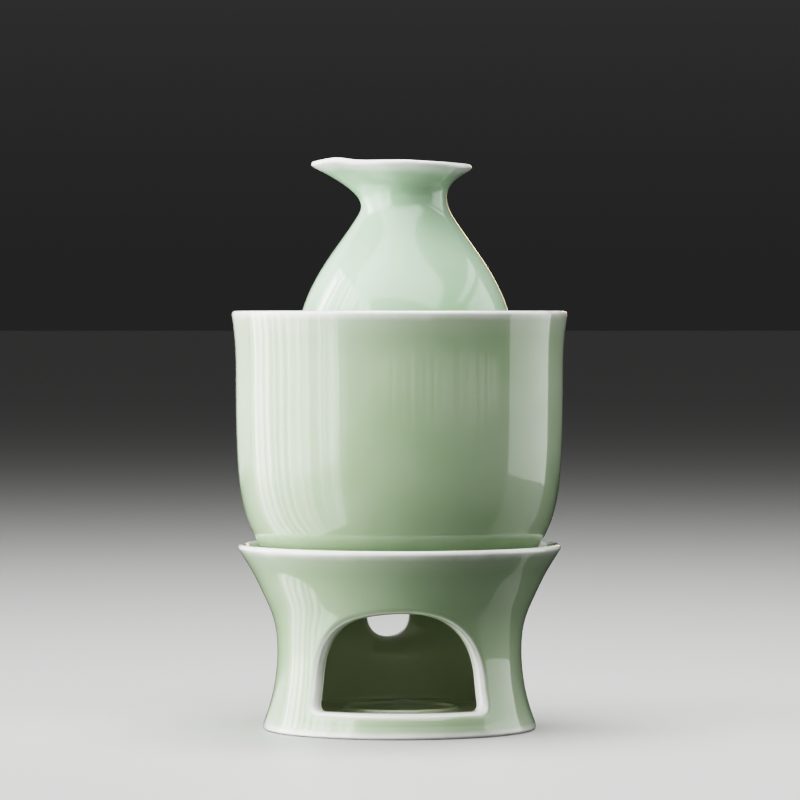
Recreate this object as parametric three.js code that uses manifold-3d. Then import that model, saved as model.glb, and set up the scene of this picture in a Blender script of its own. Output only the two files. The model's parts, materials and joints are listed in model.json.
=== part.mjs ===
// A celadon sake bottle in its warming set, made of three separate castings of glazed porcelain.
// The bottle stands in a bowl that is filled with hot water, and the bowl sits in the flared top of
// a stand. A tea light goes into the stand through an arch cut in its front.
//
// Millimetres, +Z up. The origin is on the table, on the axis of the bowl and the stand. The arch
// faces -Y, and the bottle pours towards -X.

import * as THREE from "three";
import { mergeVertices } from "three/addons/utils/BufferGeometryUtils.js";
import Module from "manifold-3d";

const wasm = await Module();
wasm.setup();

// ---------- Driving dimensions ----------

const AROUND = 48; // facets round each turned piece
const CURVE_STEPS = 2; // points to each control point of a profile
const MERGE_DISTANCE = 1e-3; // vertices closer than this are one vertex
const SEAT_GAP = 0.3; // clearance where one piece rests on another
const BEVEL = 0.8; // on the edges of the foot rings and of the ledge

// An outline is a list of [radius, height] points that a smooth curve runs through. A lip is given by
// the centre and the radius of its rounding, and by how far the wall leans out there, in degrees.

const STAND = {
  footOuter: 46.4, // the unglazed ring it rests on
  footInner: 41,
  footRecess: 3.2, // height of the underside above the table, inside the ring
  skirtRadius: 47.9, // widest part of the base, just above the foot
  skirtHeight: 1.8,
  floor: 7.4, // top of the floor that the tea light stands on
  floorRadius: 39.4, // the flat part of the floor
  ledge: 50, // top of the inner ledge that carries the bowl
  ledgeRadius: 43.5, // where the dish meets the ledge
  ledgeThickness: 3,
  ledgeHole: 31,
  outside: [[44.4, 13.7], [42.9, 27], [44.1, 38.5], [48.2, 48.5], [53.9, 58.8]],
  dish: [[48.8, 56.7]],
  chamberTopRadius: 40, // where the chamber wall meets the ledge
  chamber: [[38.5, 30], [40.6, 9]],
  lip: { radius: 55.5, height: 64, round: 1.3, lean: 31 },
};

const SEAT_RING = { radius: 19.85, width: 2.4, height: 0.7 }; // low ridge that centres the tea light

const ARCH = {
  wrapRadius: 40, // its widths are arc lengths round the wall at this radius
  left: 29.3,
  right: 28.9,
  sill: 8.8,
  corner: 3.2, // rounding of the two lower corners
  springing: 19.6, // where the straight jambs end
  crown: 43.1,
  crownShift: 1.6, // the crown was cut a little to the right of the middle
  crownReach: 16, // how far the crown runs nearly level to each side
  shoulderLeft: 16, // how far each jamb carries on up before it bends over
  shoulderRight: 13.4,
};

const VENT = { x: -4.65, height: 37.2, radius: 7.5 }; // round air hole in the back wall

const BOWL = {
  footOuter: 37,
  footInner: 33.8,
  footHeight: 2.5,
  bottomRadius: 40, // where the underside turns up into the wall
  floorThickness: 3.2,
  floorRadius: 33.5, // the flat part of the inside
  outside: [[45.5, 58], [52.9, 71.8], [56.4, 86], [57.6, 112], [57.8, 133]],
  inside: [[54.2, 124], [53.4, 94], [49.4, 73.5], [41.5, 61]],
  lip: { radius: 57.8, height: 146.05, round: 1.25, lean: 8 },
};

const BOTTLE = {
  offset: 2, // it stands a little off the bowl's axis, towards +X
  footOuter: 30,
  footInner: 26.5,
  footRecess: 1.2,
  floorThickness: 4,
  floorRadius: 22,
  belly: [[35, 68], [39.6, 92], [39.8, 120], [36, 148.5], [27.3, 165.6]],
  neck: [[17.5, 179.5], [14.7, 187.2], [18.1, 194.3]],
  neckInside: [[16.6, 196.2], [12, 186.8], [17, 174]],
  bellyInside: [[30, 152.8], [36.5, 120], [36.2, 92], [31.5, 71]],
  lip: { radius: 22.35, height: 198.7, round: 1.1, lean: 56 },
};

const SPOUT = {
  reach: 9.6, // how far it stands out past the round lip
  spread: 32, // half angle over which it fades, in degrees
  rootHeight: 182, // where it starts to grow out of the neck
  cheekRise: 1, // the lip rises to a low crest on each side of it
  cheekAngle: 27,
  cheekSpread: 13,
  farDrop: 1.1, // the lip is this much lower on the side away from it
};

const GLAZE_ON_BOWL = { color: "#b4c9ad", roughness: 0.14, metalness: 0 };
const GLAZE_ON_BOTTLE = { color: "#c6dbc3", roughness: 0.12, metalness: 0 };
const GLAZE_ON_STAND = { color: "#b9ccb3", roughness: 0.16, metalness: 0 };

const bowlSeat = STAND.ledge + SEAT_GAP;
const bowlUnderside = bowlSeat + BOWL.footHeight;
const bowlFloor = bowlUnderside + BOWL.floorThickness;
const bottleSeat = bowlFloor + SEAT_GAP;
const bottleFloor = bottleSeat + BOTTLE.floorThickness;

// ---------- Helpers ----------

const radians = THREE.MathUtils.degToRad;

// Carries a profile on smoothly through a list of [radius, height] points.
function curveThrough(profile, outline) {
  profile.splineThru(outline.map(([radius, height]) => new THREE.Vector2(radius, height)));
}

// Rounds the rim from the outside of a wall to the inside. The wall leans outwards from the vertical.
function addLip(profile, lip) {
  const outside = -radians(lip.lean);
  profile.absarc(lip.radius, lip.height, lip.round, outside, outside + Math.PI, false);
}

// The point where the outside of a wall meets its lip.
function outsideOfLip(lip) {
  const outside = -radians(lip.lean);
  return [
    lip.radius + lip.round * Math.cos(outside),
    lip.height + lip.round * Math.sin(outside),
  ];
}

// Turns a profile of (radius, height) about the Z axis.
function turn(profile) {
  const turned = new THREE.LatheGeometry(profile.getPoints(CURVE_STEPS), AROUND);
  return turned.rotateX(Math.PI / 2);
}

function toSolid(geometry) {
  const bare = geometry.clone();
  bare.deleteAttribute("normal");
  bare.deleteAttribute("uv");
  const merged = mergeVertices(bare, MERGE_DISTANCE);
  return new wasm.Manifold(
    new wasm.Mesh({
      numProp: 3,
      vertProperties: merged.attributes.position.array,
      triVerts: new Uint32Array(merged.index.array),
    }),
  );
}

function toGeometry(solid) {
  const mesh = solid.getMesh();
  const geometry = new THREE.BufferGeometry();
  geometry.setAttribute("position", new THREE.BufferAttribute(mesh.vertProperties, 3));
  geometry.setIndex(new THREE.BufferAttribute(mesh.triVerts, 1));
  geometry.computeVertexNormals();
  return geometry;
}

function piece(name, geometry, glaze) {
  const mesh = new THREE.Mesh(geometry, new THREE.MeshStandardMaterial(glaze));
  mesh.name = name;
  return mesh;
}

// ---------- Stand ----------

// One closed outline: foot ring, waisted outside, lip, dish, ledge, chamber wall and floor.
function standProfile() {
  const { ledge, ledgeThickness, ledgeHole, floor } = STAND;
  const profile = new THREE.Path();
  profile.moveTo(0, STAND.footRecess);
  profile.lineTo(STAND.footInner - BEVEL, STAND.footRecess);
  profile.lineTo(STAND.footInner, 0);
  profile.lineTo(STAND.footOuter, 0);
  profile.quadraticCurveTo(STAND.skirtRadius, 0, STAND.skirtRadius, STAND.skirtHeight);
  curveThrough(profile, [...STAND.outside, outsideOfLip(STAND.lip)]);
  addLip(profile, STAND.lip);
  curveThrough(profile, [...STAND.dish, [STAND.ledgeRadius, ledge]]);
  profile.lineTo(ledgeHole + BEVEL, ledge);
  profile.lineTo(ledgeHole, ledge - BEVEL);
  profile.lineTo(ledgeHole, ledge - ledgeThickness);
  profile.lineTo(STAND.chamberTopRadius, ledge - ledgeThickness);
  curveThrough(profile, STAND.chamber);
  profile.lineTo(STAND.floorRadius, floor);
  addSeatRing(profile, floor);
  profile.lineTo(0, floor);
  return profile;
}

function addSeatRing(profile, floor) {
  const { radius, width, height } = SEAT_RING;
  profile.lineTo(radius + width / 2, floor);
  profile.lineTo(radius + width / 6, floor + height);
  profile.lineTo(radius - width / 6, floor + height);
  profile.lineTo(radius - width / 2, floor);
}

// The arch's outline: a flat sill, rounded corners, straight jambs and a crown that leans a little.
function archShape() {
  const { left, right, sill, corner, springing, crown, crownShift, crownReach } = ARCH;
  const shoulderLeft = springing + ARCH.shoulderLeft;
  const shoulderRight = springing + ARCH.shoulderRight;
  const shape = new THREE.Shape();
  shape.moveTo(-left + corner, sill);
  shape.lineTo(right - corner, sill);
  shape.quadraticCurveTo(right, sill, right, sill + corner);
  shape.lineTo(right, springing);
  shape.bezierCurveTo(right, shoulderRight, crownReach, crown, crownShift, crown);
  shape.bezierCurveTo(-crownReach, crown, -left, shoulderLeft, -left, springing);
  shape.lineTo(-left, sill + corner);
  shape.quadraticCurveTo(-left, sill, -left + corner, sill);
  return shape;
}

// Bends the flat extrusion round the stand, so that the arch is cut square to the wall everywhere.
function archCutter() {
  const fromRadius = 28;
  const toRadius = 72;
  const options = { depth: toRadius - fromRadius, bevelEnabled: false, curveSegments: 9 };
  const cutter = new THREE.ExtrudeGeometry(archShape(), options);
  const place = cutter.attributes.position;
  for (let i = 0; i < place.count; i++) {
    const angle = place.getX(i) / ARCH.wrapRadius;
    const height = place.getY(i);
    const radius = fromRadius + place.getZ(i);
    place.setXYZ(i, radius * Math.sin(angle), -radius * Math.cos(angle), height);
  }
  return cutter;
}

function ventCutter() {
  const length = 60; // from inside the chamber to well past the wall
  const cutter = new THREE.CylinderGeometry(VENT.radius, VENT.radius, length, 32);
  return cutter.translate(VENT.x, STAND.skirtRadius, VENT.height);
}

function makeStand() {
  const turned = toSolid(turn(standProfile()));
  const withArch = turned.subtract(toSolid(archCutter()));
  return piece("stand", toGeometry(withArch.subtract(toSolid(ventCutter()))), GLAZE_ON_STAND);
}

// ---------- Warming bowl ----------

function makeBowl() {
  const profile = new THREE.Path();
  profile.moveTo(0, bowlUnderside);
  profile.lineTo(BOWL.footInner - BEVEL, bowlUnderside);
  profile.lineTo(BOWL.footInner, bowlSeat);
  profile.lineTo(BOWL.footOuter - BEVEL, bowlSeat);
  profile.lineTo(BOWL.footOuter, bowlSeat + BEVEL);
  profile.lineTo(BOWL.footOuter, bowlUnderside);
  profile.lineTo(BOWL.bottomRadius, bowlUnderside);
  curveThrough(profile, [...BOWL.outside, outsideOfLip(BOWL.lip)]);
  addLip(profile, BOWL.lip);
  curveThrough(profile, [...BOWL.inside, [BOWL.floorRadius, bowlFloor]]);
  profile.lineTo(0, bowlFloor);
  return piece("warming_bowl", turn(profile), GLAZE_ON_BOWL);
}

// ---------- Bottle ----------

function bottleProfile() {
  const profile = new THREE.Path();
  profile.moveTo(0, bottleSeat + BOTTLE.footRecess);
  profile.lineTo(BOTTLE.footInner - BEVEL, bottleSeat + BOTTLE.footRecess);
  profile.lineTo(BOTTLE.footInner, bottleSeat);
  profile.lineTo(BOTTLE.footOuter, bottleSeat);
  curveThrough(profile, [...BOTTLE.belly, ...BOTTLE.neck, outsideOfLip(BOTTLE.lip)]);
  addLip(profile, BOTTLE.lip);
  const floorEdge = [BOTTLE.floorRadius, bottleFloor];
  curveThrough(profile, [...BOTTLE.neckInside, ...BOTTLE.bellyInside, floorEdge]);
  profile.lineTo(0, bottleFloor);
  return profile;
}

function bell(angle, middle, spread) {
  return Math.exp(-(((angle - middle) / spread) ** 2));
}

// Pulls one side of the round lip out into the spout, and gives the lip its gently uneven height.
function pullSpout(geometry) {
  const place = geometry.attributes.position;
  for (let i = 0; i < place.count; i++) {
    const x = place.getX(i);
    const y = place.getY(i);
    const z = place.getZ(i);
    const radius = Math.hypot(x, y);
    const risen = (z - SPOUT.rootHeight) / (BOTTLE.lip.height - SPOUT.rootHeight);
    if (risen <= 0 || radius === 0) continue;
    const share = Math.sin((Math.PI / 2) * Math.min(risen, 1)) ** 2;
    const fromSpout = Math.abs(THREE.MathUtils.radToDeg(Math.atan2(y, -x)));
    const pull = SPOUT.reach * bell(fromSpout, 0, SPOUT.spread);
    const cheek = SPOUT.cheekRise * bell(fromSpout, SPOUT.cheekAngle, SPOUT.cheekSpread);
    const drop = SPOUT.farDrop * Math.max(0, -Math.cos(radians(fromSpout)));
    const grown = (radius + share * pull) / radius;
    place.setXYZ(i, x * grown, y * grown, z + share * (cheek - drop));
  }
}

function makeBottle() {
  const geometry = turn(bottleProfile());
  pullSpout(geometry);
  geometry.computeVertexNormals();
  const bottle = piece("bottle", geometry, GLAZE_ON_BOTTLE);
  bottle.position.x = BOTTLE.offset;
  return bottle;
}

// ---------- The set ----------

const warmingSet = new THREE.Group();
warmingSet.add(makeStand(), makeBowl(), makeBottle());

export default warmingSet;
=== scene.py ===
"""A celadon sake bottle in its warming set: a stand, a warming bowl and the bottle, in glazed porcelain.

Each CAD node is replaced by one fine mesh of the same shape. Outlines are lists of (radius, height)
points in millimetres, measured from the piece's axis and from its own foot. A mesh is made in
millimetres and scaled to metres at the end, and stands where the frame says its node stands.
"""

import json
import math

import bmesh
import bpy
import numpy as np
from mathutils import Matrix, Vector, kdtree

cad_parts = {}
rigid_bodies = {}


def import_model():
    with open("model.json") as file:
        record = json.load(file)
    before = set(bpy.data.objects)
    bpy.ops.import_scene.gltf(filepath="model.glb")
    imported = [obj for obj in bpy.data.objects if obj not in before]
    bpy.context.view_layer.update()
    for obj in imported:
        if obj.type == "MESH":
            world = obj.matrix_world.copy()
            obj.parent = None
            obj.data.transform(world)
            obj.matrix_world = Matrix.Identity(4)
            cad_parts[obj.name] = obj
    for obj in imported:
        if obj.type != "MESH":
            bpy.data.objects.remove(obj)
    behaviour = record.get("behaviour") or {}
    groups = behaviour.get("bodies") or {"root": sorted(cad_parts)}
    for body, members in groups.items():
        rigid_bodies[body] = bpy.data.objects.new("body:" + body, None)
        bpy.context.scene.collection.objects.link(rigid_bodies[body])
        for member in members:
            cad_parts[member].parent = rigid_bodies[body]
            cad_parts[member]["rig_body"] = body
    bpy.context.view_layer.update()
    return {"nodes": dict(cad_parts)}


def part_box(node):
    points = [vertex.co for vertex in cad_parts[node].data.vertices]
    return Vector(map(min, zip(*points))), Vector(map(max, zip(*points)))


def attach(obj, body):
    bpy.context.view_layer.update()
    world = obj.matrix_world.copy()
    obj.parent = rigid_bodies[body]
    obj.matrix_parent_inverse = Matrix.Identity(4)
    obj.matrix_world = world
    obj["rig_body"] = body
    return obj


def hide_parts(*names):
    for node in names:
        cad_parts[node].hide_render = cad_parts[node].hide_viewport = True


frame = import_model()

MM = 0.001

# ---------- Outlines ----------


def spline(points, spacing=1.0, leave=None, arrive=None):
    """A curve of continuous bend through the points, sampled about every `spacing` mm.

    leave and arrive set its direction at the two ends, in degrees from outwards towards up.
    """
    points = np.array(points, float)
    chords = np.hypot(*np.diff(points, axis=0).T)
    last = len(points) - 1
    matrix = np.zeros((last + 1, last + 1))
    wanted = np.zeros((last + 1, 2))
    for i in range(1, last):
        before, after = chords[i - 1], chords[i]
        matrix[i, i - 1 : i + 2] = after, 2 * (before + after), before
        slope_before = (points[i] - points[i - 1]) / before
        slope_after = (points[i + 1] - points[i]) / after
        wanted[i] = 3 * (after * slope_before + before * slope_after)
    for end, neighbour, angle in ((0, 1, leave), (last, last - 1, arrive)):
        if angle is None:
            matrix[end, [end, neighbour]] = 2, 1
            chord = chords[min(end, neighbour)]
            wanted[end] = 3 * (points[max(end, neighbour)] - points[min(end, neighbour)]) / chord
        else:
            matrix[end, end] = 1
            wanted[end] = math.cos(math.radians(angle)), math.sin(math.radians(angle))
    tangents = np.linalg.solve(matrix, wanted)
    sampled = [points[:1]]
    for i, chord in enumerate(chords):
        steps = max(2, math.ceil(chord / spacing))
        t = (np.arange(1, steps + 1) / steps)[:, None]
        rise = 3 * t**2 - 2 * t**3
        sampled.append(
            points[i] * (1 - rise)
            + points[i + 1] * rise
            + tangents[i] * chord * (t**3 - 2 * t**2 + t)
            + tangents[i + 1] * chord * (t**3 - t**2)
        )
    return np.vstack(sampled)


def rounded(corners, steps=6):
    """Straight lines between (radius, height, rounding) corners, each corner rounded by that much."""
    path = [np.array(corners[0][:2], float)]
    for before, corner, after in zip(corners, corners[1:], corners[2:]):
        here = np.array(corner[:2], float)
        back = np.array(before[:2]) - here
        on = np.array(after[:2]) - here
        start = here + back / np.hypot(*back) * corner[2]
        end = here + on / np.hypot(*on) * corner[2]
        for t in np.linspace(0, 1, steps + 1):
            path.append((1 - t) ** 2 * start + 2 * t * (1 - t) * here + t**2 * end)
    path.append(np.array(corners[-1][:2], float))
    return np.array(path)


def lip_arc(lip, steps=14):
    """The rounding of a lip, from the outside of its wall to the inside."""
    angles = np.radians(np.linspace(-lip["lean"], 180 - lip["lean"], steps + 1))
    centre = np.array([lip["radius"], lip["height"]])
    return centre + lip["round"] * np.column_stack([np.cos(angles), np.sin(angles)])


def joined(*stretches):
    """One outline from stretches that each start where the last one ended."""
    points = np.vstack(stretches)
    apart = np.hypot(*np.diff(points, axis=0).T) > 1e-6
    return points[np.concatenate([[True], apart])]


def wall(outline, low, high):
    """Radius as a function of height, along the stretch of an outline between two heights."""
    fine = outline[(outline[:, 1] >= low) & (outline[:, 1] <= high)]
    order = np.argsort(fine[:, 1])
    heights, radii = fine[order, 1], fine[order, 0]
    return lambda height: np.interp(height, heights, radii)


# ---------- Meshes ----------


def ring_positions(angles, radii, heights):
    """Angles are measured from the front (-Y), turning towards +X."""
    return np.stack([radii * np.sin(angles), -radii * np.cos(angles), heights + 0 * angles], axis=-1)


def revolve(outline, columns, windows=()):
    """Vertices and quads of an outline turned about Z.

    A window is ((first row, last row), (first column, last column)), and is left open.
    """
    angles = 2 * math.pi * np.arange(columns) / columns
    rows = len(outline)
    vertices = ring_positions(angles[None, :], outline[:, :1], outline[:, 1:]).reshape(-1, 3)
    quads = []
    for row in range(rows - 1):
        for column in range(columns):
            if any(in_window(row, column, columns, window) for window in windows):
                continue
            following = (column + 1) % columns
            low, high = row * columns, (row + 1) * columns
            quads.append((low + column, low + following, high + following, high + column))
    return vertices, quads


def in_window(row, column, columns, window):
    (first_row, last_row), (first_column, last_column) = window
    across = (column - first_column) % columns
    return first_row <= row < last_row and across < last_column - first_column


def make_piece(name, parts, node, place=(0, 0, 0)):
    """Joins (vertices, faces) parts into one smooth closed mesh that stands for a CAD node."""
    vertices, faces = [], []
    for part_vertices, part_faces in parts:
        start = sum(len(v) for v in vertices)
        vertices.append(np.asarray(part_vertices, float))
        faces += [tuple(start + i for i in face) for face in part_faces]
    mesh = bpy.data.meshes.new(name)
    mesh.from_pydata(((np.vstack(vertices) + place) * MM).tolist(), [], faces)
    tidy = bmesh.new()
    tidy.from_mesh(mesh)
    bmesh.ops.remove_doubles(tidy, verts=tidy.verts, dist=MM * 0.002)
    bmesh.ops.recalc_face_normals(tidy, faces=tidy.faces)
    open_edges = sum(1 for edge in tidy.edges if len(edge.link_faces) != 2)
    if open_edges:
        raise ValueError(f"{name} has {open_edges} open edges")
    for face in tidy.faces:
        face.smooth = True
    tidy.to_mesh(mesh)
    tidy.free()
    piece = bpy.data.objects.new(name, mesh)
    bpy.context.scene.collection.objects.link(piece)
    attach(piece, frame["nodes"][node]["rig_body"])
    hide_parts(node)
    return piece


def glaze_thickness(piece, edges):
    """Stores how thick the glaze has stayed at each vertex: the distance from the nearest edge where
    it ran thin, in millimetres, divided by that edge's width. Edges are (points, width or widths).
    """
    points = np.vstack([line for line, _ in edges])
    widths = np.concatenate([np.broadcast_to(width, len(line)) for line, width in edges])
    tree = kdtree.KDTree(len(points))
    for i, point in enumerate(points):
        tree.insert(Vector(point) * MM, i)
    tree.balance()
    thickness = []
    for vertex in piece.data.vertices:
        _, nearest, distance = tree.find(vertex.co)
        thickness.append(distance / MM / widths[nearest])
    piece.data.attributes.new("glaze", "FLOAT", "POINT").data.foreach_set("value", thickness)


def hollow_places(piece, outline, place=(0, 0, 0), reach=3.0):
    """Stores how hollow the turned outline is near each vertex, as 1 / radius in 1 / mm.

    The outline's bend is averaged over `reach` millimetres each way, as a glaze does by flowing.
    """
    fine = even(outline, 4000)
    step = np.hypot(*(fine[1] - fine[0]))
    heading = np.unwrap(np.arctan2(*np.gradient(fine, axis=0).T[::-1]))
    weights = np.hanning(2 * int(reach / step) + 1)
    bend = -np.convolve(np.gradient(heading, step), weights / weights.sum(), mode="same")
    tree = kdtree.KDTree(len(fine))
    for i, (radius, height) in enumerate(fine):
        tree.insert((radius, height, 0), i)
    tree.balance()
    values = []
    for vertex in piece.data.vertices:
        x, y, z = vertex.co / MM - Vector(place)
        values.append(bend[tree.find((math.hypot(x, y), z, 0))[1]])
    piece.data.attributes.new("hollow", "FLOAT", "POINT").data.foreach_set("value", values)


def chamber_painted_light_places(piece, inner_wall):
    """Marks the vertices inside the stand's chamber, where the glaze is painted paler and greyer: painted
    light in the shaded chamber.
    """
    margin = 0.5
    marks = []
    for vertex in piece.data.vertices:
        x, y, z = vertex.co / MM
        within_wall = math.hypot(x, y) < inner_wall(z) + margin
        marks.append(float(within_wall and CHAMBER_FLOOR - margin < z < LEDGE_UNDERSIDE + margin))
    piece.data.attributes.new("chamber", "FLOAT", "POINT").data.foreach_set("value", marks)


def highest(lip):
    """The (radius, height) of a lip's top."""
    return lip[np.argmax(lip[:, 1])]


def circle(radius, height, count=720):
    angles = 2 * math.pi * np.arange(count) / count
    return ring_positions(angles, radius, height)


# ---------- Stand ----------

STAND_LIP = {"radius": 55.5, "height": 64.0, "round": 1.3, "lean": 31}
STAND_COLUMNS = 240
STAND_OUTSIDE = [
    (47.9, 2.2),
    (45.85, 8.2),
    (43.95, 16.5),
    (43.0, 27.5),
    (44.3, 38.7),
    (48.0, 47.8),
    (52.1, 56.0),
]
CHAMBER = [(41.2, 7.9), (40.3, 11.5), (38.9, 20.0), (38.5, 30.0), (39.2, 39.0), (40.2, 46.6)]
CHAMBER_FLOOR = 7.4
SEAT_RING = 19.85  # radius of the low ridge that centres a tea light
LEDGE = 50.0
LEDGE_UNDERSIDE = 47.0
LEDGE_HOLE = 31.0
BASE_EDGE = (48.0, 0.3)

WRAP = 40.0  # openings are drawn in arc lengths round the wall at this radius
ARCH = {
    "left": 29.3,
    "right": 28.9,
    "sill": 8.8,
    "corner": 3.4,
    "springing": 19.6,  # where the jambs start to bend over
    "left_shoulder": 16.6,  # how far each jamb's direction carries on up from there
    "right_shoulder": 13.6,
    "reach": 16.0,  # how far the crown's direction carries on to each side
    "crown": 43.1,
    "lean": 1.6,  # how far right of the middle the crown is
}
ARCH_EDGE = (2.4, 0.3)  # rounding of its outer and inner edges
VENT = {"across": 4.35, "height": 37.2, "radius": 7.4}
VENT_EDGE = (1.4, 1.3)
MID_ROUNDING = 0.3  # how deep the middle of a rounded edge lies, as a share of its radius

WINDOW_ROWS = 56
OUTER_WINDOW = (4.2, 48.5)  # heights of the stretch of wall that the openings lie in
INNER_WINDOW = (7.9, 46.6)
ARCH_ROWS, ARCH_COLUMNS = (0, WINDOW_ROWS - 1), (-34, 34)
VENT_ROWS, VENT_COLUMNS = (26, WINDOW_ROWS - 1), (113, 135)
ARCH_MIDDLE = (0, 24)
OUTER_RINGS, INNER_RINGS = 14, 8  # rings of faces from a window's border to the rounded edge in it

# How wide the glaze stays thin beside each edge, in millimetres. On the arch it goes from the sill's
# width to the crown's: the glaze runs thin there, and the wider white on the sill and jambs is also
# painted light, the narrower white at the crown painted shade.
THIN_AT_LIP = 1.4
THIN_AT_BASE = 1.0
THIN_AT_VENT = 0.7
ARCH_EDGE_THIN_GLAZE_AND_PAINTED_LIGHT = (0.5, 0.15)
ARCH_SIDE_THIN_GLAZE_AND_PAINTED_LIGHT = (0.95, 0.35)


def bezier(points, count):
    t = np.linspace(0, 1, count)[:, None]
    a, b, c, d = np.array(points, float)
    return (1 - t) ** 3 * a + 3 * (1 - t) ** 2 * t * b + 3 * (1 - t) * t**2 * c + t**3 * d


def arch_outline():
    """The arch's edge as (arc length, height), from the middle of the sill round to it again."""
    left, right, sill, corner = -ARCH["left"], ARCH["right"], ARCH["sill"], ARCH["corner"]
    springing, reach, crown, lean = ARCH["springing"], ARCH["reach"], ARCH["crown"], ARCH["lean"]
    left_shoulder = springing + ARCH["left_shoulder"]
    right_shoulder = springing + ARCH["right_shoulder"]
    lower_right = bezier(
        [(right - corner, sill), (right - 1, sill), (right, sill + 1), (right, sill + corner)], 60
    )
    upper_right = bezier([(right, springing), (right, right_shoulder), (reach, crown), (lean, crown)], 240)
    upper_left = bezier([(lean, crown), (-reach, crown), (left, left_shoulder), (left, springing)], 240)
    lower_left = bezier(
        [(left, sill + corner), (left, sill + 1), (left + 1, sill), (left + corner, sill)], 60
    )
    path = np.vstack([[(0, sill)], lower_right, upper_right, upper_left, lower_left, [(0, sill)]])
    return even(path, 2000)


def vent_outline():
    angles = np.linspace(-math.pi / 2, 1.5 * math.pi, 2001)
    centre = np.array([VENT["across"], VENT["height"]])
    return centre + VENT["radius"] * np.column_stack([np.cos(angles), np.sin(angles)])


def even(path, count):
    """The same path cut into `count` steps of equal length."""
    lengths = np.concatenate([[0], np.cumsum(np.hypot(*np.diff(path, axis=0).T))])
    where = np.linspace(0, lengths[-1], count + 1)
    return np.column_stack([np.interp(where, lengths, path[:, i]) for i in (0, 1)])


def outward(path):
    """Unit vectors square to a closed anticlockwise path, pointing away from its inside."""
    along = np.roll(path[:-1], -1, axis=0) - np.roll(path[:-1], 1, axis=0)
    along = np.vstack([along, along[:1]])
    square = np.column_stack([along[:, 1], -along[:, 0]])
    return square / np.hypot(*square.T)[:, None]


class Opening:
    """A hole cut square through the stand's wall, with rounded edges.

    facing is the angle of its own zero from the front. Its window is the block of the turned grid
    that it lies in, given as rows and columns.
    """

    def __init__(self, outline, edge, facing, rows, columns, centre):
        self.path = outline
        self.away = outward(outline)
        self.edge = edge
        self.facing = facing
        self.rows = rows
        self.columns = columns
        self.centre = np.array(centre, float)

    def border(self, heights):
        """The window's border as (arc length, height), anticlockwise, at the grid's own vertices."""
        step = 2 * math.pi / STAND_COLUMNS
        across = (np.arange(self.columns[0], self.columns[1] + 1) * step - self.facing) * WRAP
        up = heights[self.rows[0] : self.rows[1] + 1]
        bottom = np.column_stack([across, np.full(len(across), up[0])])
        right = np.column_stack([np.full(len(up), across[-1]), up])
        top = np.column_stack([across[::-1], np.full(len(across), up[-1])])
        left = np.column_stack([np.full(len(up), across[0]), up[::-1]])
        return np.vstack([bottom[:-1], right[:-1], top[:-1], left[:-1]])

    def follow(self, border):
        """For each border point, the place along the outline that lies in the same direction."""
        rim = self.path + self.edge[0] * self.away
        turn = np.unwrap(np.arctan2(*(rim - self.centre).T[::-1]))
        wanted = np.unwrap(np.arctan2(*(border - self.centre).T[::-1]))
        wanted += 2 * math.pi * np.round((turn.mean() - wanted.mean()) / (2 * math.pi))
        span = turn[-1] - turn[0]
        wanted = turn[0] + (wanted - turn[0]) % span
        where = np.interp(wanted, turn, np.arange(len(turn)))
        steps = np.arange(len(turn))
        place = np.column_stack([np.interp(where, steps, self.path[:, i]) for i in (0, 1)])
        away = np.column_stack([np.interp(where, steps, self.away[:, i]) for i in (0, 1)])
        return place, away

    def ring(self, flat, radius):
        """Places (arc length, height) points on the wall, at a radius for each."""
        return ring_positions(self.facing + flat[:, 0] / WRAP, radius, flat[:, 1])

    def surface(self, outer_wall, inner_wall, outer_heights, inner_heights):
        """The wall between the window's border and the hole, on both sides, and the hole's sides."""
        outer_border, inner_border = self.border(outer_heights), self.border(inner_heights)
        place, away = self.follow(outer_border)
        outer_edge, inner_edge = self.edge
        rings = []
        for share in np.linspace(0, 1, OUTER_RINGS + 1)[:-1]:
            flat = outer_border * (1 - share) + (place + away * outer_edge) * share
            rings.append(self.ring(flat, outer_wall(flat[:, 1])))
        for angle in np.linspace(0, math.pi / 2, 10):
            flat = place + away * outer_edge * (1 - math.sin(angle))
            depth = outer_edge * (1 - math.cos(angle))
            rings.append(self.ring(flat, outer_wall(flat[:, 1]) - depth))
        jamb_outer = outer_wall(place[:, 1]) - outer_edge
        jamb_inner = inner_wall(place[:, 1]) + inner_edge
        for share in (0.25, 0.5, 0.75):
            rings.append(self.ring(place, jamb_outer * (1 - share) + jamb_inner * share))
        for angle in np.linspace(math.pi / 2, 0, 7):
            flat = place + away * inner_edge * (1 - math.sin(angle))
            depth = inner_edge * (1 - math.cos(angle))
            rings.append(self.ring(flat, inner_wall(flat[:, 1]) + depth))
        for share in np.linspace(1, 0, INNER_RINGS + 1)[1:]:
            flat = inner_border * (1 - share) + (place + away * inner_edge) * share
            rings.append(self.ring(flat, inner_wall(flat[:, 1])))
        count = len(outer_border)
        quads = []
        for row in range(len(rings) - 1):
            for i in range(count):
                following = (i + 1) % count
                low, high = row * count, (row + 1) * count
                quads.append((low + i, low + following, high + following, high + i))
        return np.vstack(rings), quads

    def edge_points(self, outer_wall):
        """The line along the middle of its outer rounding, where the glaze runs thinnest."""
        depth = self.edge[0] * MID_ROUNDING
        flat = self.path + self.away * depth
        return self.ring(flat, outer_wall(flat[:, 1]) - depth)

    def inner_edge_points(self, inner_wall):
        """The same along its inner rounding."""
        depth = self.edge[1] * MID_ROUNDING
        flat = self.path + self.away * depth
        return self.ring(flat, inner_wall(flat[:, 1]) + depth)

    def side_points(self, outer_wall, inner_wall):
        """The line half-way through the wall, round the opening's own sides."""
        heights = self.path[:, 1]
        return self.ring(self.path, (outer_wall(heights) + inner_wall(heights)) / 2)


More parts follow.
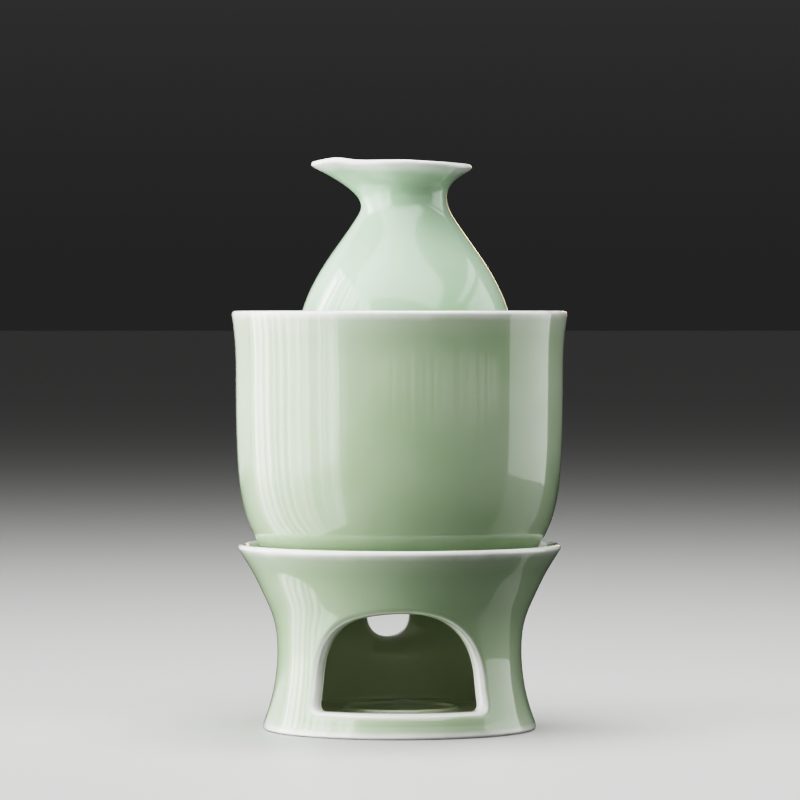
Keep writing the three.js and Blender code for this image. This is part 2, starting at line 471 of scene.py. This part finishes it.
def stand_outline(lip, outside, chamber):
    """The stand's section, from the middle of its underside round to the middle of its floor.

    outside and chamber are the walls' two faces, as rows that the openings can be fitted to.
    """
    foot = rounded(
        [(0, 3.2, 0), (40.2, 3.2, 0.5), (41, 0, 0.6), (46.7, 0, 1.0), (48.15, 0.45, 0.8), (47.9, 2.2, 0)]
    )
    dish = spline(
        [tuple(lip[-1]), (51.9, 61.0), (48.2, 55.6), (44.9, 51.4)],
        arrive=-128,
        leave=270 - STAND_LIP["lean"] - 2,
    )
    ledge = rounded(
        [
            (44.9, 51.4, 0),
            (43.8, LEDGE, 1.2),
            (LEDGE_HOLE, LEDGE, 1.1),
            (LEDGE_HOLE, LEDGE_UNDERSIDE, 1.1),
            (40.6, LEDGE_UNDERSIDE, 0.4),
            (40.2, 46.6, 0),
        ]
    )
    ridge = CHAMBER_FLOOR + 0.75
    floor = rounded(
        [
            (41.2, 7.9, 0),
            (41.0, CHAMBER_FLOOR, 0.3),
            (SEAT_RING + 1.3, CHAMBER_FLOOR, 0.6),
            (SEAT_RING + 0.5, ridge, 0.4),
            (SEAT_RING - 0.5, ridge, 0.4),
            (SEAT_RING - 1.3, CHAMBER_FLOOR, 0.6),
            (0, CHAMBER_FLOOR, 0),
        ]
    )
    return joined(foot, outside, lip, dish, ledge, chamber, floor)


def row_at(outline, point):
    """Which row of an outline is nearest a point."""
    return int(np.argmin(np.abs(outline - point).sum(axis=1)))


def make_stand():
    lip = lip_arc(STAND_LIP)
    outer_wall = wall(spline(STAND_OUTSIDE + [tuple(lip[0])], 0.05, arrive=90 - STAND_LIP["lean"]), 0, 70)
    inner_wall = wall(spline(CHAMBER, 0.05), 0, 70)

    outer_heights = np.linspace(*OUTER_WINDOW, WINDOW_ROWS)
    inner_heights = np.linspace(*INNER_WINDOW, WINDOW_ROWS)
    below = np.linspace(STAND_OUTSIDE[0][1], OUTER_WINDOW[0], 5)[:-1]
    above = np.linspace(OUTER_WINDOW[1], lip[0][1], 22)[1:-1]
    outside_heights = np.concatenate([below, outer_heights, above])
    outside = np.column_stack([outer_wall(outside_heights), outside_heights])
    chamber = np.column_stack([inner_wall(inner_heights), inner_heights])[::-1]
    outline = stand_outline(lip, outside, chamber)

    arch = Opening(arch_outline(), ARCH_EDGE, 0.0, ARCH_ROWS, ARCH_COLUMNS, ARCH_MIDDLE)
    vent_middle = (VENT["across"], VENT["height"])
    vent = Opening(vent_outline(), VENT_EDGE, math.pi, VENT_ROWS, VENT_COLUMNS, vent_middle)
    bottom_outside = row_at(outline, outside[len(below)])
    bottom_inside = row_at(outline, chamber[0]) + WINDOW_ROWS - 1
    windows = []
    for opening in (arch, vent):
        low, high = opening.rows
        windows.append(((bottom_outside + low, bottom_outside + high), opening.columns))
        windows.append(((bottom_inside - high, bottom_inside - low), opening.columns))
    walls = (outer_wall, inner_wall, outer_heights, inner_heights)
    parts = [revolve(outline, STAND_COLUMNS, windows), arch.surface(*walls), vent.surface(*walls)]
    stand = make_piece("stand_body", parts, "stand")

    arch_edge = arch.edge_points(outer_wall)
    # Painted light and shade: the arch's white edges are widest at the sill and narrow towards the crown.
    height_share = np.clip((arch_edge[:, 2] - ARCH["sill"]) / (ARCH["crown"] - ARCH["sill"]), 0, 1)
    edge_width = np.interp(height_share, (0, 1), ARCH_EDGE_THIN_GLAZE_AND_PAINTED_LIGHT)
    side_width = np.interp(height_share, (0, 1), ARCH_SIDE_THIN_GLAZE_AND_PAINTED_LIGHT)
    thin = [
        (circle(*highest(lip)), THIN_AT_LIP),
        (circle(*BASE_EDGE), THIN_AT_BASE),
        (arch_edge, edge_width),
        (arch.side_points(outer_wall, inner_wall), side_width),
        (arch.inner_edge_points(inner_wall), edge_width),
        (vent.edge_points(outer_wall), THIN_AT_VENT),
        (vent.inner_edge_points(inner_wall), THIN_AT_VENT),
    ]
    glaze_thickness(stand, thin)
    hollow_places(stand, outline)
    chamber_painted_light_places(stand, inner_wall)
    return stand


# ---------- Warming bowl ----------

BOWL_COLUMNS = 216
BOWL_THIN_AT_LIP = 1.35
BOWL_LIP = {"radius": 57.8, "height": 95.75, "round": 1.25, "lean": 8}
BOWL_OUTSIDE = [
    (38.4, 2.35),
    (41.4, 3.9),
    (45.2, 7.8),
    (49.4, 14.6),
    (52.75, 21.3),
    (55.05, 28.7),
    (56.6, 39.0),
    (57.4, 54.0),
    (57.63, 70.0),
    (57.85, 84.0),
]
BOWL_INSIDE = [
    (54.6, 84.0),
    (54.1, 70.0),
    (53.8, 54.0),
    (52.9, 39.5),
    (51.0, 29.5),
    (47.9, 21.5),
    (43.6, 13.8),
    (38.6, 8.5),
    (33.0, 6.0),
]


def make_bowl():
    lip = lip_arc(BOWL_LIP)
    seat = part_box("warming_bowl")[0].z / MM
    foot = rounded(
        [(0, 2.5, 0), (33.2, 2.5, 0.6), (33.9, 0, 0.5), (37, 0, 0.5), (37.2, 2.2, 0.6), (38.4, 2.35, 0)]
    )
    outside = spline(BOWL_OUTSIDE + [tuple(lip[0])], leave=14, arrive=90 - BOWL_LIP["lean"])
    inside = spline([tuple(lip[-1])] + BOWL_INSIDE, leave=270 - BOWL_LIP["lean"] - 4, arrive=190)
    floor = [(33.0, 6.0), (26.0, 5.7), (13.0, 5.7), (0, 5.7)]
    outline = joined(foot, outside, lip, inside, floor)
    place = (0, 0, seat)
    bowl = make_piece("bowl_body", [revolve(outline, BOWL_COLUMNS)], "warming_bowl", place)
    glaze_thickness(bowl, [(circle(*highest(lip)) + place, BOWL_THIN_AT_LIP)])
    hollow_places(bowl, outline, place)
    return bowl


# ---------- Bottle ----------

BOTTLE_COLUMNS = 200
BOTTLE_THIN_AT_LIP = 2.3
BOTTLE_LIP = {"radius": 22.35, "height": 142.4, "round": 1.1, "lean": 56}
BOTTLE_OUTSIDE = [
    (31.3, 2.2),
    (35.2, 12.5),
    (38.7, 28.0),
    (40.0, 45.5),
    (39.75, 64.0),
    (38.1, 83.0),
    (35.75, 92.6),
    (27.0, 109.5),
    (18.1, 122.2),
    (15.15, 127.8),
    (14.65, 131.2),
    (15.9, 135.5),
    (18.7, 138.6),
]
BOTTLE_INSIDE = [
    (17.1, 140.3),
    (13.4, 136.6),
    (11.9, 131.2),
    (12.5, 127.0),
    (15.4, 121.0),
    (23.6, 108.6),
    (32.0, 92.0),
    (34.7, 82.4),
    (36.4, 64.0),
    (36.6, 46.0),
    (35.1, 29.5),
    (31.2, 15.0),
    (26.0, 7.6),
    (19.0, 4.6),
]
SPOUT = {"reach": 9.6, "spread": 32.0, "root": 125.7, "far_drop": 1.1}
CHEEK = {"rise": 1.0, "angle": 27.0, "spread": 13.0}  # the low swelling on each side of the spout


def bell(angle, middle, spread):
    return np.exp(-(((angle - middle) / spread) ** 2))


def pull_spout(vertices):
    """Pulls the round lip out towards -X, and gives it its gently uneven height."""
    x, y, z = vertices.T
    risen = np.clip((z - SPOUT["root"]) / (BOTTLE_LIP["height"] - SPOUT["root"]), 0, 1)
    share = np.sin(math.pi / 2 * risen) ** 2
    from_spout = np.abs(np.degrees(np.arctan2(y, -x)))
    pull = SPOUT["reach"] * bell(from_spout, 0, SPOUT["spread"])
    cheek = CHEEK["rise"] * bell(from_spout, CHEEK["angle"], CHEEK["spread"])
    drop = SPOUT["far_drop"] * np.maximum(0, -np.cos(np.radians(from_spout)))
    radius = np.maximum(np.hypot(x, y), 1e-9)
    grown = (radius + share * pull) / radius
    return np.column_stack([x * grown, y * grown, z + share * (cheek - drop)])


def make_bottle():
    lip = lip_arc(BOTTLE_LIP)
    low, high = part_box("bottle")
    belly_radius = (high.y - low.y) / 2
    place = np.array([high.x - belly_radius, (low.y + high.y) / 2, low.z]) / MM
    foot = rounded([(0, 1.2, 0), (25.9, 1.2, 0.5), (26.5, 0, 0.4), (30.4, 0, 0.9), (31.3, 2.2, 0)])
    outside = spline(BOTTLE_OUTSIDE + [tuple(lip[0])], leave=66, arrive=90 - BOTTLE_LIP["lean"])
    inside = spline([tuple(lip[-1])] + BOTTLE_INSIDE, leave=270 - BOTTLE_LIP["lean"] - 2, arrive=188)
    floor = [(19.0, 4.6), (10.0, 4.4), (0, 4.4)]
    outline = joined(foot, outside, lip, inside, floor)
    vertices, quads = revolve(outline, BOTTLE_COLUMNS)
    parts = [(pull_spout(vertices), quads)]
    bottle = make_piece("bottle_body", parts, "bottle", place)
    glaze_thickness(bottle, [(pull_spout(circle(*highest(lip))) + place, BOTTLE_THIN_AT_LIP)])
    hollow_places(bottle, outline, place)
    return bottle


# ---------- Materials ----------

CELADON = (0.37, 0.48, 0.31)
BOTTLE_CELADON = (0.41, 0.58, 0.40)
THIN_GLAZE = (0.92, 0.93, 0.90)
# Paler colour inside the stand's chamber: painted light that brightens its shade.
CHAMBER_PAINTED_LIGHT = (0.72, 0.76, 0.61)
IRON_SPECK = (0.16, 0.13, 0.09)
BISCUIT = (0.74, 0.70, 0.64)
BARE_HEIGHT = 0.25  # millimetres of a foot ring's rounding that are left unglazed


def new_material(name):
    material = bpy.data.materials.new(name)
    material.use_nodes = True
    return material, Nodes(material.node_tree), material.node_tree.nodes["Principled BSDF"]


class Nodes:
    """Adds shader nodes, each with its values and with links from other nodes' outputs."""

    def __init__(self, tree):
        self.tree = tree

    def add(self, kind, settings=(), **inputs):
        node = self.tree.nodes.new("ShaderNode" + kind)
        for name, value in dict(settings).items():
            setattr(node, name, value)
        for name, value in inputs.items():
            self.put(node.inputs[name.replace("_", " ")], value)
        return node

    def put(self, socket, value):
        if isinstance(value, bpy.types.NodeSocket):
            self.tree.links.new(value, socket)
        else:
            socket.default_value = value

    def maths(self, operation, *values):
        node = self.tree.nodes.new("ShaderNodeMath")
        node.operation = operation
        for socket, value in zip(node.inputs, values):
            self.put(socket, value)
        return node.outputs[0]

    def fade(self, value, low, high, from_value=0.0, to_value=1.0):
        node = self.add(
            "MapRange",
            {"interpolation_type": "SMOOTHSTEP"},
            Value=value,
            From_Min=low,
            From_Max=high,
            To_Min=from_value,
            To_Max=to_value,
        )
        return node.outputs["Result"]

    def blend(self, share, first, second):
        node = self.tree.nodes.new("ShaderNodeMix")
        node.data_type = "RGBA"
        self.put(node.inputs["Factor"], share)
        for socket, colour in zip((s for s in node.inputs if s.type == "RGBA"), (first, second)):
            self.put(socket, colour if isinstance(colour, bpy.types.NodeSocket) else (*colour, 1))
        return next(s for s in node.outputs if s.type == "RGBA")

    def noise(self, size, seed, stretch=(1, 1, 1), detail=2.0):
        """Smooth random values around 0.5, in patches about `size` millimetres across."""
        place = self.add("TexCoord").outputs["Object"]
        scale = [factor / (size * MM) for factor in stretch]
        moved = self.add("Mapping", Vector=place, Location=(seed * 7.3, seed * 3.1, seed), Scale=scale)
        node = self.add("TexNoise", Vector=moved.outputs["Vector"], Scale=1.0, Detail=detail)
        return node.outputs["Fac"]

    def dots(self, spacing, radius, share, seed):
        """1 at the middle of a few small dots, falling to 0 at their edges."""
        place = self.add("TexCoord").outputs["Object"]
        scale = [1 / (spacing * MM)] * 3
        moved = self.add("Mapping", Vector=place, Location=(seed * 1.7, seed, seed * 2.9), Scale=scale)
        cells = self.add("TexVoronoi", Vector=moved.outputs["Vector"], Scale=1.0)
        luck = self.add("SeparateColor", Color=cells.outputs["Color"]).outputs["Red"]
        picked = self.maths("LESS_THAN", luck, share)
        dot = self.fade(cells.outputs["Distance"], radius / spacing * 0.5, radius / spacing, 1.0, 0.0)
        return self.maths("MULTIPLY", dot, picked)


def glaze_material(name, green, pooling, seed):
    """Celadon glaze over white porcelain.

    It is white where it ran thin over an edge, cloudy in soft patches, and greener, up to the share
    pooling, where it gathered in a hollow. Round the stand's arch the white is also painted light on
    the sill and jambs and painted shade at the crown, and inside the chamber the glaze is painted paler
    as painted light. Its surface is glossy and very slightly wavy, with a few pinholes and iron specks.
    Sizes are in millimetres.
    """
    material, nodes, shader = new_material(name)
    thickness = nodes.add("Attribute", {"attribute_name": "glaze"}).outputs["Fac"]
    wander = nodes.maths("MULTIPLY_ADD", nodes.noise(9, seed), 1.0, -0.5)
    thickness = nodes.maths("ADD", thickness, wander)
    body_shows = nodes.fade(thickness, 0.4, 2.8, 1.0, 0.14)
    still_thin = nodes.fade(thickness, 1.5, 7.5, 1.0, 0.0)
    whiteness = nodes.maths("MULTIPLY", body_shows, still_thin)

    hollow = nodes.add("Attribute", {"attribute_name": "hollow"}).outputs["Fac"]
    gathered = nodes.fade(hollow, 0.01, 0.25, 0.0, pooling)
    deep = [channel**1.45 for channel in green]
    paler = [channel * 0.9 + 0.08 for channel in green]
    cloudy = nodes.blend(nodes.fade(nodes.noise(28, seed + 1), 0.3, 0.7), green, paler)
    pooled = nodes.blend(gathered, cloudy, deep)
    # Painted light: the chamber's glaze is painted paler to brighten the shaded inside.
    inside = nodes.add("Attribute", {"attribute_name": "chamber"}).outputs["Fac"]
    pooled = nodes.blend(inside, pooled, CHAMBER_PAINTED_LIGHT)
    colour = nodes.blend(whiteness, pooled, THIN_GLAZE)
    speck = nodes.dots(14, 0.28, 0.10, seed)
    colour = nodes.blend(nodes.maths("MULTIPLY", speck, 0.55), colour, IRON_SPECK)
    nodes.put(shader.inputs["Base Color"], colour)

    waves = nodes.maths("MULTIPLY", nodes.noise(16, seed + 2, detail=1.0), 0.10)
    turning = nodes.maths("MULTIPLY", nodes.noise(9, seed + 3, (0.25, 0.25, 4), 1.0), 0.010)
    peel = nodes.maths("MULTIPLY", nodes.noise(1.1, seed + 4, detail=0.0), 0.0022)
    pinhole = nodes.maths("MULTIPLY", nodes.dots(17, 0.4, 0.08, seed + 5), -0.25)
    height = nodes.maths("ADD", nodes.maths("ADD", waves, turning), nodes.maths("ADD", peel, pinhole))
    bump = nodes.add("Bump", Height=height, Strength=1.0, Distance=MM)
    nodes.put(shader.inputs["Normal"], bump.outputs["Normal"])
    shader.inputs["Roughness"].default_value = 0.32
    shader.inputs["Specular IOR Level"].default_value = 0.25
    shader.inputs["Coat Weight"].default_value = 1.0
    shader.inputs["Coat Roughness"].default_value = 0.045
    shader.inputs["Coat IOR"].default_value = 1.5
    nodes.put(shader.inputs["Coat Normal"], bump.outputs["Normal"])
    return material


def biscuit_material(name, seed):
    """Bare fired porcelain, where a foot was wiped clean so that it would not stick in the kiln."""
    material, nodes, shader = new_material(name)
    grain = nodes.noise(0.5, seed, detail=4.0)
    darker = [channel * 0.86 for channel in BISCUIT]
    nodes.put(shader.inputs["Base Color"], nodes.blend(nodes.fade(grain, 0.35, 0.7), BISCUIT, darker))
    bump = nodes.add("Bump", Height=grain, Strength=0.5, Distance=0.05 * MM)
    nodes.put(shader.inputs["Normal"], bump.outputs["Normal"])
    shader.inputs["Roughness"].default_value = 0.85
    return material


def finish(piece, slot, green, pooling, seed):
    """Glazes a piece all over, but for the flat of its foot ring."""
    piece.data.materials.append(glaze_material(slot, green, pooling, seed))
    piece.data.materials.append(biscuit_material(slot + "_foot", seed))
    lowest = min(vertex.co.z for vertex in piece.data.vertices)
    for face in piece.data.polygons:
        if face.center.z < lowest + BARE_HEIGHT * MM:
            face.material_index = 1


# ---------- Studio ----------


CAMERA_PLACE = (0.0002, -1.711, 0.1482)
CAMERA_LENS = 218.7
CAMERA_DIP = 1.084  # degrees below level
FLOOR_WIDTH = 60
FLOOR_COLOUR = (0.84, 0.84, 0.83)
MIDDLE = Vector((0, 0, 0.1))
FOLDS = 34  # millimetres across the folds of a softbox's curtain
RIM = {"place": (168, 1.6, 0.36), "size": (0.09, 0.5), "energy": 0.012, "colour": (1, 0.72, 0.40)}


def make_camera():
    """The photograph's view: a long lens 1.71 m away, level with the rim of the bowl."""
    data = bpy.data.cameras.new("camera")
    data.lens = CAMERA_LENS
    data.sensor_width = 36
    camera = bpy.data.objects.new("camera", data)
    bpy.context.scene.collection.objects.link(camera)
    camera.location = CAMERA_PLACE
    camera.rotation_euler = (math.radians(90 - CAMERA_DIP), 0, 0)
    bpy.context.scene.camera = camera


def stage_plane(name, width, height):
    """A rectangle in its own XY plane, which isn't part of the object."""
    x, y = width / 2, height / 2
    mesh = bpy.data.meshes.new(name)
    mesh.from_pydata([(-x, -y, 0), (x, -y, 0), (x, y, 0), (-x, y, 0)], [], [(0, 1, 2, 3)])
    plane = bpy.data.objects.new(name, mesh)
    bpy.context.scene.collection.objects.link(plane)
    return plane


def make_floor():
    """A plain pale floor. Its bounce is kept off the pieces, because they were photographed on black."""
    floor = stage_plane("floor", FLOOR_WIDTH, FLOOR_WIDTH)
    material, _, shader = new_material("floor")
    shader.inputs["Base Color"].default_value = (*FLOOR_COLOUR, 1)
    shader.inputs["Roughness"].default_value = 0.5
    floor.data.materials.append(material)
    floor.visible_diffuse = False
    floor.visible_glossy = False
    floor.visible_shadow = False


def softbox(name, place, target, size, brightness, soft=(0.0, 0.0), curtain=0.0, mirrored=1.0):
    """A flat light out of the camera's sight, turned towards its target.

    soft is the share of its half width and half height over which it fades out at its borders. A
    curtain in front of it makes soft upright bands, brighter and darker by that share. The part of an
    upright one below the floor is its image in a glossy table top, dimmed by the share mirrored.
    """
    light = stage_plane(name, *size)
    light.location = place
    light.rotation_euler = (Vector(target) - Vector(place)).to_track_quat("-Z", "Y").to_euler()
    light.visible_camera = False
    material = bpy.data.materials.new(name)
    material.use_nodes = True
    material.node_tree.nodes.clear()
    nodes = Nodes(material.node_tree)
    spot = nodes.add("SeparateXYZ", Vector=nodes.add("TexCoord").outputs["Object"])
    strength = brightness
    for axis, length, share in zip("XY", size, soft):
        if share:
            outwards = nodes.maths("ABSOLUTE", spot.outputs[axis])
            fading = nodes.fade(outwards, length / 2 * (1 - share), length / 2, 1.0, 0.0)
            strength = nodes.maths("MULTIPLY", fading, strength)
    if curtain:
        cloth = nodes.noise(FOLDS, 4, (1, 0.004, 1), 5.0)
        folds = nodes.fade(cloth, 0.3, 0.7, 1 - curtain, 1 + curtain)
        strength = nodes.maths("MULTIPLY", folds, strength)
    if mirrored < 1:
        level = nodes.maths("ADD", spot.outputs["Y"], place[2])
        strength = nodes.maths("MULTIPLY", nodes.fade(level, -0.05, 0.03, mirrored, 1.0), strength)
    emission = nodes.add("Emission", Color=(1, 1, 1, 1), Strength=strength)
    nodes.add("OutputMaterial", Surface=emission.outputs["Emission"])
    light.data.materials.append(material)
    return light


def upright_softbox(name, azimuth, distance, low, high, span, *rest, **settings):
    """A softbox that stands round the object, and spans so many degrees of its surroundings.

    It lights the pieces only, so that it leaves no bright or dark patches on the floor.
    """
    width = 2 * distance * math.tan(math.radians(span / 2))
    place = round_about(azimuth, distance, (low + high) / 2)
    light = softbox(name, place, (0, 0, place.z), (width, high - low), *rest, **settings)
    light.light_linking.receiver_collection = pieces
    light.visible_shadow = False


def rim_light():
    """A narrow warm light behind the object, which draws a thin line down its right-hand edges."""
    data = bpy.data.lights.new("rim", "AREA")
    data.shape = "RECTANGLE"
    data.size, data.size_y = RIM["size"]
    data.energy = RIM["energy"]
    data.color = RIM["colour"]
    data.spread = math.radians(22)
    light = bpy.data.objects.new("rim", data)
    bpy.context.scene.collection.objects.link(light)
    light.location = round_about(*RIM["place"])
    light.rotation_euler = (Vector((0, 0, 0.13)) - light.location).to_track_quat("-Z", "Y").to_euler()
    light.visible_camera = False
    light.light_linking.receiver_collection = pieces


def round_about(azimuth, distance, height):
    """A place at an azimuth from the front (-Y) towards +X."""
    turn = math.radians(azimuth)
    return Vector((math.sin(turn) * distance, -math.cos(turn) * distance, height))


def make_world(brightness, horizon):
    """Even dim light, a little darker near the horizon so that the floor ends softly."""
    world = bpy.data.worlds.new("studio")
    bpy.context.scene.world = world
    world.use_nodes = True
    nodes = Nodes(world.node_tree)
    up = nodes.add("SeparateXYZ", Vector=nodes.add("TexCoord").outputs["Generated"]).outputs["Z"]
    strength = nodes.fade(up, 0.0, 0.12, horizon, brightness)
    nodes.put(world.node_tree.nodes["Background"].inputs["Strength"], strength)
    world.node_tree.nodes["Background"].inputs["Color"].default_value = (1, 1, 1, 1)


pieces = bpy.data.collections.new("pieces")
bpy.context.scene.view_settings.view_transform = "Filmic"
bpy.context.scene.view_settings.look = "Very High Contrast"
make_camera()
make_floor()
make_world(0.06, 0.038)

# Name, azimuth, distance, lowest and highest point, degrees spanned, brightness.
upright_softbox("key", -81, 0.66, -0.5, 0.72, 92, 4.4, soft=(0.35, 0.0), curtain=0.75, mirrored=0.5)
upright_softbox("lamp", -112, 0.63, 0.3, 0.58, 8, 12, soft=(0.5, 0.3))
upright_softbox("side", -142, 0.9, 0.0, 0.8, 44, 0.9, soft=(0.5, 0.1), curtain=0.35)
upright_softbox("window", 102, 0.62, 0.0, 0.51, 44, 1.55)
upright_softbox("window_low", 102, 0.62, -0.4, 0.0, 44, 0.35)
upright_softbox("transom", 98, 0.62, 0.56, 0.63, 56, 1.7)
upright_softbox("front", 24, 0.95, 0.0, 0.5, 100, 0.6, soft=(0.15, 0.45), curtain=0.95)
overhead = round_about(-12, 0.66, 1.25)
softbox("overhead", overhead, MIDDLE, (2.5, 0.8), 2.3, soft=(0.12, 0.12), curtain=0.12)
softbox("top", (0, 0.15, 1.5), (0, 0, 0), (1.3, 1.0), 5.5, soft=(0.3, 0.3))
upright_softbox("back_right", 148, 0.9, 0.0, 0.6, 36, 0.10, soft=(0.4, 0.3))
rim_light()

stand = make_stand()
bowl = make_bowl()
bottle = make_bottle()
finish(stand, "stand_glaze", CELADON, 0.35, 1)
finish(bowl, "bowl_glaze", CELADON, 0.1, 2)
finish(bottle, "bottle_glaze", BOTTLE_CELADON, 0.75, 3)
for piece in (stand, bowl, bottle):
    pieces.objects.link(piece)
